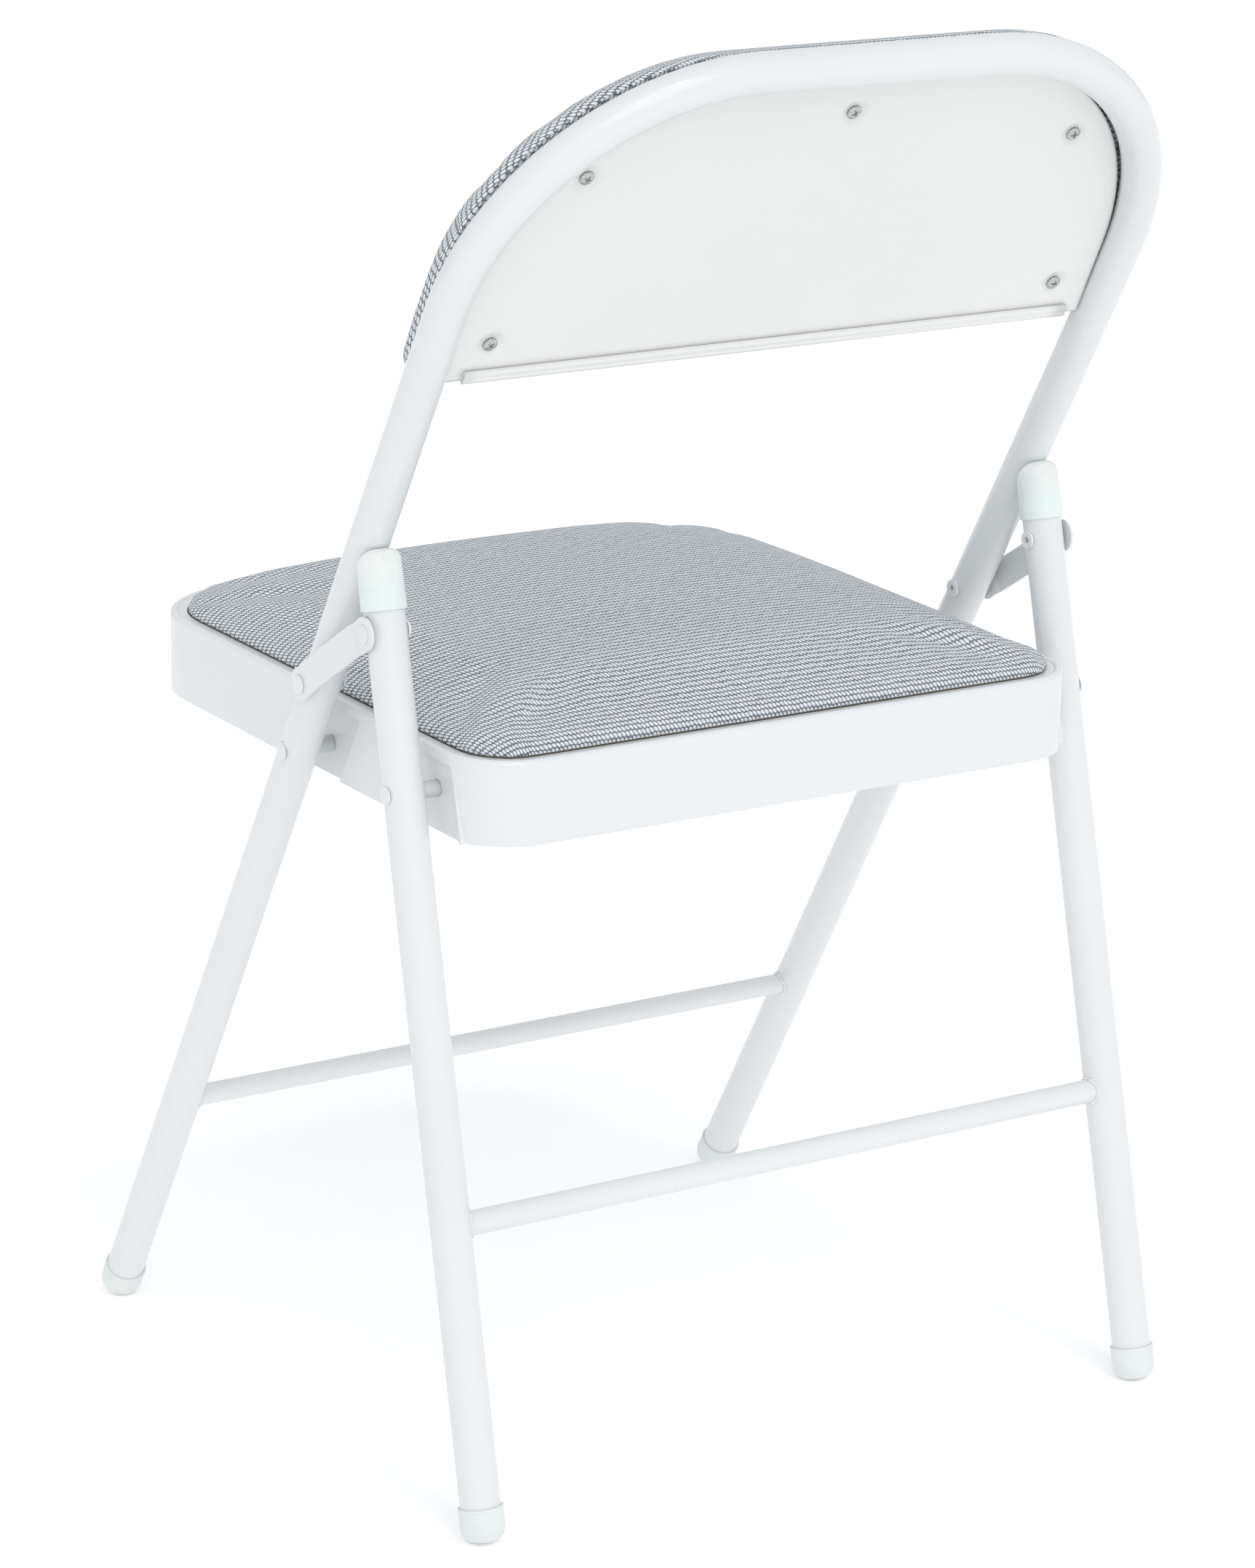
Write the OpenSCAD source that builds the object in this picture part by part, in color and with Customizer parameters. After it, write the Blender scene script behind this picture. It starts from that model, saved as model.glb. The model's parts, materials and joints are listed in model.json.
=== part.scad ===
// Folding chair with a padded steel seat and a padded back.
// X runs across the chair, the sitter faces -Y, and Z is up from the floor.
// The left side is the sitter's left, at +X.

/* [Tube frame] */
// Outer diameter of the frame tube
tube_d = 22; // [20:0.5:24]
// Wall thickness of the frame tube
tube_wall = 1.2; // [1:0.1:2]
// Distance between the front uprights, centre to centre
frame_w = 424.8; // [410:0.2:440]
// Lean of the front frame back from vertical
front_lean = 32.5; // [31:0.1:34]
// Distance from the floor to the top rail, along the uprights
hoop_s = 913.2; // [895:0.2:930]
// Centre line radius of the hoop's two bends
hoop_r = 141; // [120:1:160]
// Lean of the rear legs forward from vertical
rear_lean = 11.4; // [10:0.1:12]
// Distance between the rear legs at the floor, centre to centre
rear_foot_w = 431.6; // [426:0.2:436]
// Distance the rear legs close in between the floor and the top pivot
rear_close_in = 3.6; // [2:0.1:5]
// Height of the front crossbar above the floor
front_bar_z = 147.5; // [120:0.5:200]
// Diameter of the front crossbar
front_bar_d = 12.4; // [10:0.2:14]
// Height of the rear crossbar above the floor
rear_bar_z = 166; // [120:0.5:200]
// Diameter of the rear crossbar
rear_bar_d = 13.6; // [10:0.2:14]

/* [Fold] */
// Seat pivot, along the upright from the floor
seat_pivot_s = 464.2; // [455:0.2:475]
// Link pivot above the seat pivot, along the upright
link_pivot_rise = 50.8; // [48:0.2:54]
// Leg pivot behind the seat pivot, along the pan
leg_pivot_back = 115.7; // [110:0.1:120]
// Leg pivot above the seat pivot, square to the pan
leg_pivot_up = 5.3; // [3:0.1:8]
// Top pivot above the leg pivot, along the rear leg
top_pivot_rise = 85; // [82:0.2:88]
// Downward tilt of the seat towards the back
seat_tilt = 2.2; // [1:0.1:4]

/* [Seat] */
// Overall width of the seat pan
pan_w = 391.6; // [380:0.2:394]
// Reach of the pan in front of the seat pivot
pan_front = 234; // [225:1:240]
// Reach of the pan behind the seat pivot
pan_rear = 165; // [150:1:175]
// Overall height of the pan
pan_h = 46.4; // [42:0.2:50]
// Height of the seat pivot above the pan's lower edge
pan_pivot_h = 17.8; // [16:0.2:20]
// Outline radius of the pan's front corners
pan_front_r = 62; // [50:0.2:70]
// Outline radius of the pan's rear corners
pan_rear_r = 38.3; // [30:0.1:50]
// Sheet thickness of the pan
pan_t = 1.5; // [1.2:0.1:2]
// Height of the seat pad above the rim
seat_pad_h = 20; // [14:0.5:24]

/* [Back] */
// Lower edge of the back panel, along the uprights
panel_low_s = 725.8; // [715:0.2:735]
// Sheet thickness of the back panel
panel_t = 1.2; // [1:0.1:1.5]
// Thickness of the back board
back_board_t = 5; // [4:0.5:6]
// Thickness of the back pad over the board
back_pad_t = 19; // [16:0.5:26]

/* [Hidden] */
$fn = 64;
left = 1;
right = -1;

// Gaps: a seated fit, a running fit, and a free gap between parts that turn
seat_fit = 0.02;
sleeve_fit = 0.05;
run_fit = 0.08;
turn_gap = 0.3;

// Overrun of a cutting solid past the faces that it cuts
cut = 1;
floor_span = 1000;
floor_depth = 50;

tube_r = tube_d / 2;
bore_r = tube_r - tube_wall;
frame_x = frame_w / 2;
frame_in_x = frame_x - tube_r;
frame_out_x = frame_x + tube_r;
bar_wall = 1.2;

// Feet: a cup with a thin lip and a rounded sole that is cut flat at the floor
foot_r = 12.1;
foot_sole_r = 8;
foot_tip_r = foot_r - foot_sole_r;
foot_h = 19;
foot_floor = 4.5;
foot_lip = 1.4;
foot_bead = 0.3;
foot_wear = 0.4;
function tidy(v) = round(100 * v) / 100;
function foot_s(lean) =
    tidy((foot_sole_r - foot_wear + foot_tip_r * sin(lean)) / cos(lean) - foot_sole_r);

// Rearmost and foremost points behind the frame's floor line, and the shift
// that centres the model front to back
rail_reach = hoop_s * sin(front_lean) + tube_r;
toe_reach = (foot_s(front_lean) + foot_sole_r) * sin(front_lean)
            - foot_tip_r * cos(front_lean) - foot_sole_r;
front_y = -(rail_reach + toe_reach) / 2;

// Pivots: A seat on upright, B leg on seat, C link on upright, D link on leg
a_y = front_y + seat_pivot_s * sin(front_lean);
a_z = seat_pivot_s * cos(front_lean);
link_pivot_s = seat_pivot_s + link_pivot_rise;
c_y = front_y + link_pivot_s * sin(front_lean);
c_z = link_pivot_s * cos(front_lean);
b_y = a_y + leg_pivot_back * cos(seat_tilt) + leg_pivot_up * sin(seat_tilt);
b_z = a_z - leg_pivot_back * sin(seat_tilt) + leg_pivot_up * cos(seat_tilt);
rear_y = b_y + b_z * tan(rear_lean);
leg_pivot_s = tidy(b_z / cos(rear_lean));
top_pivot_s = leg_pivot_s + top_pivot_rise;
d_y = rear_y - top_pivot_s * sin(rear_lean);
d_z = top_pivot_s * cos(rear_lean);
splay = atan2(rear_close_in, top_pivot_s);
function leg_x(s) = tidy(rear_foot_w / 2 - s * tan(splay));

// Rear leg caps
cap_r = 12.2;
cap_top_r = 11.8;
cap_edge_r = 6.5;
cap_rim_s = leg_pivot_s + 96.5;
cap_h = 32;
cap_pocket = 13.2;
cap_pocket_gap = 0.2;
cap_stop_gap = 0.4;
cap_facet_rise = 22.9;
cap_facet_tilt = 21;
drain_r = 1;
drain_drop = 3.4;

// Rivets and spacers
shank_r = 3;
head_r = 5.2;
head_rim = 0.7;
head_dome = 0.9;
tail_r = 5;
tail_t = 1.2;
tail_hole_r = 1.9;
tail_hole_depth = 2.4;
spacer_r = 4.6;
spacer_bore_r = 3.1;
tail_seat_gap = 0.2;
link_shank_gap = 0.1;

// Link arms, joggled outwards between the two eyes
link_x = 224.5;
link_t = 1.6;
link_step = 1.2;
link_w = 17.6;
link_eye_r = 9.2;
link_flat = 7;
link_ramp = 3;
link_head_gap = 0.15;
link_reach = link_step + link_t + 2 * cut;
link_angle = atan2(d_z - c_z, d_y - c_y);
link_len = norm([d_y - c_y, d_z - c_z]);

// Seat pan: grooves beside the tubes, a beaded rim and a sunk tray
pan_x = pan_w / 2;
groove_depth = 3;
groove_w = 42;
groove_top = 40;
groove_x = pan_x - groove_depth;
groove_front_angle = -(front_lean - seat_tilt);
groove_rear_angle = rear_lean + seat_tilt;
rim_w = 10;
rim_bead_r = 2.6;
rim_drop = 1;
rim_edge_r = 0.7;
tray_z = 38.4;
flange_w = 7.5;
pan_inner_x = groove_x - pan_t;

board_gap = 0.5;
seat_board_inset = rim_w + board_gap;
seat_board_t = pan_h - tray_z;
seat_pad_inset = 7;
seat_pad_edge = 12;
seat_pad_gap = 0.4;
seat_screw_x = 120;
seat_screw_front = 150;
seat_screw_rear = 115;
seat_screw_head_r = 4.5;
seat_screw_head_h = 2.2;
seat_screw_r = 2;
seat_screw_grip = 7;

// Screws: taper of the head, clearance under the point
screw_crown = 0.72;
screw_point_gap = 0.1;

// Back: panel plane, hem, screws in pressed dimples
panel_n = -5.4;
panel_inset = 9.7;
panel_corner = 3;
hem_h = 7.5;
hem_t = 3;
hem_half = 196;
board_gap_n = 0.2;
board_n = -tube_r - board_gap_n;
dimple_depth = panel_n - board_n;
dimple_r = 8.5;
dimple_floor_r = 5.4;
screw_head_r = 4;
screw_head_h = 2.2;
screw_r = 2;
screw_cross_w = 0.9;
screw_cross_l = 4.4;
screw_cross_depth = 1.2;
back_screw_grip = panel_t + back_board_t - 0.5;
back_board_inset = 4.4;
back_board_low = 4;
back_board_drop = 8.4;
back_board_corner = 6;
back_pad_grow = 3.4;
back_pad_edge = 12;
back_pad_corner = 14;
pocket_gap = 0.25;
screw_low_x = 177.4;
screw_low_s = panel_low_s + 21;
screw_up_x = 150.5;
screw_up_s = panel_low_s + 123.4;
screw_top_s = panel_low_s + 151.4;

steel_color = "whitesmoke";
plastic_color = "ivory";
fabric_color = "lightsteelblue";
board_color = "burlywood";
zinc_color = "silver";

// ---- frames of reference ----

// Front frame: X across, Y square to the frame and backwards, Z up the tube
module on_front() translate([0, front_y, 0]) rotate([-front_lean, 0, 0]) children();

// Rear legs: X across, Y square to the legs and backwards, Z up the legs
module on_rear() translate([0, rear_y, 0]) rotate([rear_lean, 0, 0]) children();

// One rear leg: Z runs up the middle of its tube
module on_leg(side)
    on_rear() on_side(side)
        translate([rear_foot_w / 2, 0, 0]) rotate([0, -splay, 0]) children();

// Seat: X across, Y back along the pan, Z up from the pan's lower edge
module on_seat()
    translate([0, a_y, a_z]) rotate([-seat_tilt, 0, 0]) translate([0, 0, -pan_pivot_h]) children();

// Link arm: X across, Y from pivot C towards pivot D
module on_link(side)
    on_side(side) translate([0, c_y, c_z]) rotate([link_angle, 0, 0]) children();

module on_side(side) mirror([side < 0 ? 1 : 0, 0, 0]) children();

// A rod that runs across the chair between two X positions
module cross_rod(r, x_from, x_to)
    translate([x_from, 0, 0]) rotate([0, 90, 0]) cylinder(r = r, h = x_to - x_from);

// ---- outlines and rounded plates ----

// Quarter of a disc, in the corner where X and Y are positive
module quarter(r) intersection() {
    circle(r = r);
    square(r);
}

// Flat outline, straight at the sides, with its own corner radius at each end
module outline(half, low, high, r_low, r_high) {
    mid = (low + r_low + high - r_high) / 2;
    translate([-half, low + r_low]) square([2 * half, high - r_high - low - r_low]);
    translate([r_low - half, low]) square([2 * (half - r_low), mid - low]);
    translate([r_high - half, mid]) square([2 * (half - r_high), high - mid]);
    for (side = [left, right]) on_side(side) {
        translate([half - r_low, low + r_low]) mirror([0, 1, 0]) quarter(r_low);
        translate([half - r_high, high - r_high]) quarter(r_high);
    }
}

// Sweep a section round that outline: section X is 0 on the outline and
// negative inwards, section Y is height
module sweep_round(half, low, high, r_low, r_high) {
    side_len = high - r_high - low - r_low;
    low_len = 2 * (half - r_low);
    high_len = 2 * (half - r_high);
    for (side = [left, right]) on_side(side) {
        translate([half, high - r_high, 0]) rotate([90, 0, 0])
            linear_extrude(side_len) children();
        translate([half - r_high, high - r_high, 0])
            rotate_extrude(angle = 90) translate([r_high, 0]) children();
        translate([half - r_low, low + r_low, 0]) rotate([0, 0, -90])
            rotate_extrude(angle = 90) translate([r_low, 0]) children();
    }
    translate([-high_len / 2, high, 0]) rotate([90, 0, 90])
        linear_extrude(high_len) children();
    translate([low_len / 2, low, 0]) rotate([90, 0, -90])
        linear_extrude(low_len) children();
}

// Plate with its upper edge rounded all round
module cushion(half, low, high, r_low, r_high, thick, edge) {
    linear_extrude(thick)
        outline(half - edge, low + edge, high - edge, r_low - edge, r_high - edge);
    sweep_round(half, low, high, r_low, r_high) {
        union() {
            translate([-edge, 0]) square([edge, thick - edge]);
            translate([-edge, thick - edge]) quarter(edge);
        }
    }
}

// ---- fasteners ----

// Domed rivet head, with its flat side at Z = 0
module rivet_head() {
    dome_r = (head_r * head_r + head_dome * head_dome) / (2 * head_dome);
    cylinder(r = head_r, h = head_rim);
    translate([0, 0, head_rim]) intersection() {
        cylinder(r = head_r, h = head_dome);
        translate([0, 0, head_dome - dome_r]) sphere(r = dome_r, $fn = 96);
    }
}

// Rivet across the chair: shank from the tail's seat to the head's seat
module rivet(tail_x, head_x) difference() {
    union() {
        cross_rod(shank_r, tail_x, head_x);
        cross_rod(tail_r, tail_x - tail_t, tail_x);
        translate([head_x, 0, 0]) rotate([0, 90, 0]) rivet_head();
    }
    cross_rod(tail_hole_r, tail_x - tail_t - cut, tail_x + tail_hole_depth);
}

// Spacer washer between the pan and a tube
module spacer(tube_in_x) difference() {
    cross_rod(spacer_r, groove_x + turn_gap, tube_in_x + tube_r / 2);
    cross_rod(spacer_bore_r, groove_x, tube_in_x + tube_r);
}

// Pan head screw that points along -Z, with its head above Z = 0
module screw(r_head, h_head, r_shank, grip) difference() {
    union() {
        cylinder(r = r_head, h = h_head / 2);
        translate([0, 0, h_head / 2]) 
            cylinder(r1 = r_head, r2 = r_head * screw_crown, h = h_head / 2);
        translate([0, 0, -grip]) cylinder(r = r_shank, h = grip);
    }
    for (turn = [0, 90]) rotate([0, 0, turn])
        translate([-screw_cross_l / 2, -screw_cross_w / 2, h_head - screw_cross_depth])
            cube([screw_cross_l, screw_cross_w, h_head]);
}

// ---- front frame ----

// Solid run of the hooped front tube, in the front frame's own axes
module hoop_run(r, low_s) {
    bend_s = hoop_s - hoop_r;
    rail_half = frame_x - hoop_r;
    for (side = [left, right]) on_side(side) {
        translate([frame_x, 0, low_s]) cylinder(r = r, h = bend_s - low_s);
        translate([rail_half, 0, bend_s]) rotate([90, 0, 0])
            rotate_extrude(angle = 90, $fn = 128) translate([hoop_r, 0]) circle(r = r);
    }
    translate([0, 0, hoop_s]) cross_rod(r, -rail_half, rail_half);
}

module front_frame() color(steel_color) on_front() {
    low_s = foot_s(front_lean) + foot_floor;
    difference() {
        hoop_run(tube_r, low_s);
        hoop_run(bore_r, low_s - cut);
        for (side = [left, right], s = [seat_pivot_s, link_pivot_s]) on_side(side)
            translate([0, 0, s])
                cross_rod(shank_r + seat_fit, frame_in_x - cut, frame_out_x + cut);
    }
}

module front_crossbar() color(steel_color) on_front() {
    bar_s = front_bar_z / cos(front_lean);
    difference() {
        translate([0, 0, bar_s]) difference() {
            cross_rod(front_bar_d / 2, -frame_x, frame_x);
            cross_rod(front_bar_d / 2 - bar_wall, -frame_x - cut, frame_x + cut);
        }
        for (side = [left, right]) on_side(side)
            translate([frame_x, 0, bar_s - tube_d])
                cylinder(r = tube_r + sleeve_fit, h = 2 * tube_d);
    }
}

// Foot cup on a tube that leans by the given angle, Z up the tube
module foot_cup(lean) {
    start = foot_s(lean);
    difference() {
        translate([0, 0, start]) union() {
            rotate_extrude() {
                square([foot_tip_r, foot_h]);
                translate([0, foot_sole_r]) square([foot_r, foot_h - foot_sole_r]);
                translate([foot_tip_r, foot_sole_r]) mirror([0, 1, 0]) quarter(foot_sole_r);
            }
            translate([0, 0, foot_h - foot_lip]) cylinder(r = foot_r + foot_bead, h = foot_lip);
        }
        translate([0, 0, start + foot_floor])
            cylinder(r = tube_r + sleeve_fit, h = foot_h);
    }
}

module floor_cut() translate([-floor_span / 2, -floor_span / 2, -floor_depth])
    cube([floor_span, floor_span, floor_depth]);

module front_foot(side) color(plastic_color) difference() {
    on_front() on_side(side) translate([frame_x, 0, 0]) foot_cup(front_lean);
    floor_cut();
}

// ---- back rest ----

// Turn a plate drawn in X and Y so that it stands in the front frame,
// with its thickness running forwards from the given distance
module on_back(n) on_front() translate([0, n, 0]) rotate([90, 0, 0]) children();

// Screw places in the plane of the frame: top, upper pair, lower pair
function back_screw_places() = [[0, screw_top_s],
    [screw_up_x, screw_up_s], [-screw_up_x, screw_up_s],
    [screw_low_x, screw_low_s], [-screw_low_x, screw_low_s]];

// Pressed cup that reaches forwards from the panel to the board
module dimple() cylinder(r1 = dimple_r, r2 = dimple_floor_r, h = dimple_depth);

module back_panel() color(steel_color) on_back(panel_n) difference() {
    union() {
        linear_extrude(panel_t)
            outline(frame_x - panel_inset, panel_low_s, hoop_s - panel_inset,
                    panel_corner, hoop_r - panel_inset);
        for (place = back_screw_places()) translate(place) dimple();
        translate([0, panel_low_s, -hem_t]) hem();
    }
    for (place = back_screw_places()) translate(place) {
        translate([0, 0, -panel_t]) dimple();
        cylinder(r = screw_r + run_fit, h = 2 * dimple_depth);
    }
}

// Lower edge rolled over towards the back
module hem() rotate([90, 0, 90]) translate([0, 0, -hem_half]) linear_extrude(2 * hem_half) {
    translate([hem_t / 2, 0]) square([hem_h - hem_t, hem_t]);
    translate([hem_t / 2, hem_t / 2]) circle(r = hem_t / 2);
    translate([hem_h - hem_t / 2, hem_t / 2]) circle(r = hem_t / 2);
}

module back_screw(index) color(zinc_color)
    on_back(board_n + panel_t) translate(back_screw_places()[index])
        rotate([180, 0, 0]) screw(screw_head_r, screw_head_h, screw_r, back_screw_grip);

module back_board_shape(grow)
    linear_extrude(back_board_t + grow)
        outline(frame_x - back_board_inset + grow, panel_low_s - back_board_low - grow,
                hoop_s - back_board_drop + grow, back_board_corner + grow,
                hoop_r - back_board_inset + grow);

module back_board() color(board_color) difference() {
    on_back(board_n) back_board_shape(0);
    for (index = [0 : 4])
        on_back(board_n + cut) translate(back_screw_places()[index])
            cylinder(r = screw_r + seat_fit, h = back_screw_grip - panel_t + screw_point_gap + cut);
}

module back_pad() color(fabric_color) on_back(board_n) difference() {
    grow = back_pad_grow;
    cushion(frame_x - back_board_inset + grow, panel_low_s - back_board_low - grow,
            hoop_s - back_board_drop + grow, back_pad_corner,
            hoop_r - back_board_inset + grow, back_pad_t, back_pad_edge);
    translate([0, 0, -pocket_gap]) back_board_shape(pocket_gap);
    back_board_shape(pocket_gap);
}

// ---- pivots ----

module seat_rivet(side) color(steel_color) on_front() on_side(side)
    translate([0, 0, seat_pivot_s]) rivet(pan_inner_x - tail_seat_gap, frame_out_x);

module seat_spacer(side) color(plastic_color) on_front() on_side(side) difference() {
    translate([0, 0, seat_pivot_s]) spacer(frame_in_x);
    translate([frame_x, 0, seat_pivot_s - tube_d])
        cylinder(r = tube_r + sleeve_fit, h = 2 * tube_d);
}

module link_rivet(side) color(steel_color) on_front() on_side(side)
    translate([0, 0, link_pivot_s]) rivet(frame_in_x, link_x + link_t + link_head_gap);

module leg_rivet(side) color(steel_color) on_rear() on_side(side)
    translate([0, 0, leg_pivot_s])
        rivet(pan_inner_x - tail_seat_gap, leg_x(leg_pivot_s) + tube_r);

module leg_spacer(side) color(plastic_color) difference() {
    on_rear() on_side(side) translate([0, 0, leg_pivot_s])
        spacer(leg_x(leg_pivot_s) - tube_r);
    on_leg(side) translate([0, 0, leg_pivot_s - tube_d])
        cylinder(r = tube_r + sleeve_fit, h = 2 * tube_d);
}

// Inner part of the top rivet, which stays with the leg
module link_tail(side) color(steel_color) on_rear() on_side(side)
    translate([0, 0, top_pivot_s]) {
        tail_x = leg_x(top_pivot_s) - tube_r;
        difference() {
            union() {
                cross_rod(shank_r, tail_x, tail_x + tube_d - link_shank_gap);
                cross_rod(tail_r, tail_x - tail_t, tail_x);
            }
            cross_rod(tail_hole_r, tail_x - tail_t - cut, tail_x + tail_hole_depth);
        }
    }

// Outer part of the top rivet, which stays with the link
module link_pin(side) color(steel_color) on_link(side) translate([0, link_len, 0]) {
    cross_rod(shank_r, link_x, link_x + link_t);
    translate([link_x + link_t, 0, 0]) rotate([0, 90, 0]) rivet_head();
}

module link_outline() {
    circle(r = link_eye_r);
    translate([link_len, 0]) circle(r = link_eye_r);
    translate([0, -link_w / 2]) square([link_len, link_w]);
}

// Side view of the strip: flat eyes, and a middle that is stepped outwards
module link_section() {
    reach = link_eye_r + cut;
    run = [-reach, link_flat, link_flat + link_ramp,
           link_len - link_flat - link_ramp, link_len - link_flat, link_len + reach];
    step = [0, 0, link_step, link_step, 0, 0];
    inner = [for (i = [0 : 5]) [link_x + step[i], run[i]]];
    outer = [for (i = [5 : -1 : 0]) [link_x + step[i] + link_t, run[i]]];
    polygon(concat(inner, outer));
}

module link(side) color(steel_color) on_link(side) difference() {
    intersection() {
        translate([0, 0, -link_eye_r]) linear_extrude(2 * link_eye_r) link_section();
        translate([link_x - cut, 0, 0]) rotate([90, 0, 90])
            linear_extrude(link_reach) link_outline();
    }
    cross_rod(shank_r + run_fit, link_x - cut, link_x + link_reach);
    translate([0, link_len, 0])
        cross_rod(shank_r + seat_fit, link_x - cut, link_x + link_reach);
}

// ---- seat ----

// Wall, lower flange, beaded rim and the wall down to the tray, as one section
module pan_section() {
    rim_top = pan_h - rim_drop;
    translate([-flange_w, 0]) square([flange_w, pan_t]);
    translate([-pan_t, 0]) square([pan_t, pan_h - rim_bead_r]);
    translate([-rim_bead_r, pan_h - rim_bead_r]) circle(r = rim_bead_r);
    translate([rim_edge_r - rim_w, rim_top - pan_t]) square([rim_w - rim_edge_r - rim_bead_r, pan_t]);
    translate([-rim_w, tray_z - pan_t]) square([pan_t, rim_top - rim_edge_r - tray_z + pan_t]);
    translate([rim_edge_r - rim_w, rim_top - rim_edge_r]) circle(r = rim_edge_r);
}

// Slab that leans with a tube and passes through a pivot, at one side wall
module groove_slab(pivot_y, pivot_z, angle, width, x_from, x_to, top)
    intersection() {
        translate([x_from, pivot_y, pivot_z]) rotate([angle, 0, 0])
            translate([0, -width / 2, -2 * pan_h]) cube([x_to - x_from, width, 4 * pan_h]);
        translate([x_from - cut, -pan_front, 0])
            cube([x_to - x_from + 2 * cut, pan_front + pan_rear, top]);
    }

// Both grooves of one side
module grooves(width, x_from, x_to, top) {
    groove_slab(0, pan_pivot_h, groove_front_angle, width, x_from, x_to, top);
    groove_slab(leg_pivot_back, pan_pivot_h + leg_pivot_up, groove_rear_angle,
                width, x_from, x_to, top);
}

module seat_pan() color(steel_color) on_seat() difference() {
    union() {
        sweep_round(pan_x, -pan_front, pan_rear, pan_front_r, pan_rear_r) pan_section();
        translate([0, 0, tray_z - pan_t]) linear_extrude(pan_t)
            outline(pan_x - rim_w + pan_t, rim_w - pan_t - pan_front, pan_rear - rim_w + pan_t,
                    pan_front_r - rim_w + pan_t, pan_rear_r - rim_w + pan_t);
        for (side = [left, right]) on_side(side)
            grooves(groove_w + 2 * pan_t, pan_inner_x, pan_x - pan_t / 2, groove_top + pan_t);
    }
    for (side = [left, right]) on_side(side) {
        translate([0, 0, -cut]) grooves(groove_w, groove_x, pan_x + cut, groove_top + cut);
        translate([0, 0, pan_pivot_h])
            cross_rod(shank_r + run_fit, pan_inner_x - cut, pan_x + cut);
        translate([0, leg_pivot_back, pan_pivot_h + leg_pivot_up])
            cross_rod(shank_r + run_fit, pan_inner_x - cut, pan_x + cut);
    }
    for (place = seat_screw_places()) translate([place[0], place[1], tray_z - 2 * pan_t])
        cylinder(r = seat_screw_r + run_fit, h = 3 * pan_t);
}

function seat_screw_places() = [[seat_screw_x, -seat_screw_front], [-seat_screw_x, -seat_screw_front],
                                [seat_screw_x, seat_screw_rear], [-seat_screw_x, seat_screw_rear]];

module seat_board() color(board_color) on_seat() difference() {
    translate([0, 0, tray_z]) linear_extrude(seat_board_t)
        outline(pan_x - seat_board_inset, seat_board_inset - pan_front, pan_rear - seat_board_inset,
                pan_front_r - seat_board_inset, pan_rear_r - seat_board_inset);
    for (place = seat_screw_places()) translate([place[0], place[1], tray_z - cut])
        cylinder(r = seat_screw_r + seat_fit, h = seat_screw_grip - pan_t + screw_point_gap + cut);
}

module seat_pad() color(fabric_color) on_seat() translate([0, 0, pan_h + seat_pad_gap])
    cushion(pan_x - seat_pad_inset, seat_pad_inset - pan_front, pan_rear - seat_pad_inset,
            pan_front_r - seat_pad_inset, pan_rear_r - seat_pad_inset,
            seat_pad_h - seat_pad_gap, seat_pad_edge);

module seat_screw(index) color(zinc_color) on_seat()
    translate([seat_screw_places()[index][0], seat_screw_places()[index][1], tray_z - pan_t])
        rotate([180, 0, 0])
            screw(seat_screw_head_r, seat_screw_head_h, seat_screw_r, seat_screw_grip);

// ---- rear legs ----

module rear_leg(side) color(steel_color) difference() {
    low_s = foot_s(rear_lean) + foot_floor;
    top_s = cap_rim_s + cap_pocket;
    on_leg(side) difference() {
        translate([0, 0, low_s]) cylinder(r = tube_r, h = top_s - low_s);
        translate([0, 0, low_s - cut]) cylinder(r = bore_r, h = top_s - low_s + 2 * cut);
        translate([0, 0, cap_rim_s - drain_drop]) cross_rod(drain_r, 0, tube_d);
    }
    on_rear() on_side(side) for (s = [leg_pivot_s, top_pivot_s])
        translate([0, 0, s])
            cross_rod(shank_r + seat_fit, leg_x(s) - tube_d, leg_x(s) + tube_d);
}

module rear_crossbar() color(steel_color) difference() {
    bar_s = rear_bar_z / cos(rear_lean);
    half = leg_x(bar_s);
    on_rear() translate([0, 0, bar_s]) difference() {
        cross_rod(rear_bar_d / 2, -half, half);
        cross_rod(rear_bar_d / 2 - bar_wall, -half - cut, half + cut);
    }
    for (side = [left, right]) on_leg(side)
        translate([0, 0, bar_s - tube_d]) cylinder(r = tube_r + sleeve_fit, h = 2 * tube_d);
}

// Moulded cap: its front is cut parallel to the upright that it rests against
module rear_cap(side) color(plastic_color) difference() {
    on_leg(side) difference() {
        translate([0, 0, cap_rim_s]) union() {
            cylinder(r1 = cap_r, r2 = cap_top_r, h = cap_h - cap_edge_r);
            translate([0, 0, cap_h - cap_edge_r]) rotate_extrude() union() {
                square([cap_top_r - cap_edge_r, cap_edge_r]);
                translate([cap_top_r - cap_edge_r, 0]) quarter(cap_edge_r);
            }
        }
        translate([0, 0, cap_rim_s - cut])
            cylinder(r = tube_r + sleeve_fit, h = cap_pocket + cap_pocket_gap + cut);
        translate([-2 * cap_r, cap_r, cap_rim_s + cap_facet_rise])
            rotate([cap_facet_tilt, 0, 0]) translate([0, 0, -cap_r])
                cube([4 * cap_r, cap_r, 3 * cap_r]);
    }
    on_front() translate([-frame_w, -tube_d, seat_pivot_s])
        cube([2 * frame_w, tube_d + tube_r + cap_stop_gap, hoop_s - seat_pivot_s]);
}

module rear_foot(side) color(plastic_color) difference() {
    on_leg(side) foot_cup(rear_lean);
    floor_cut();
}

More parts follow.
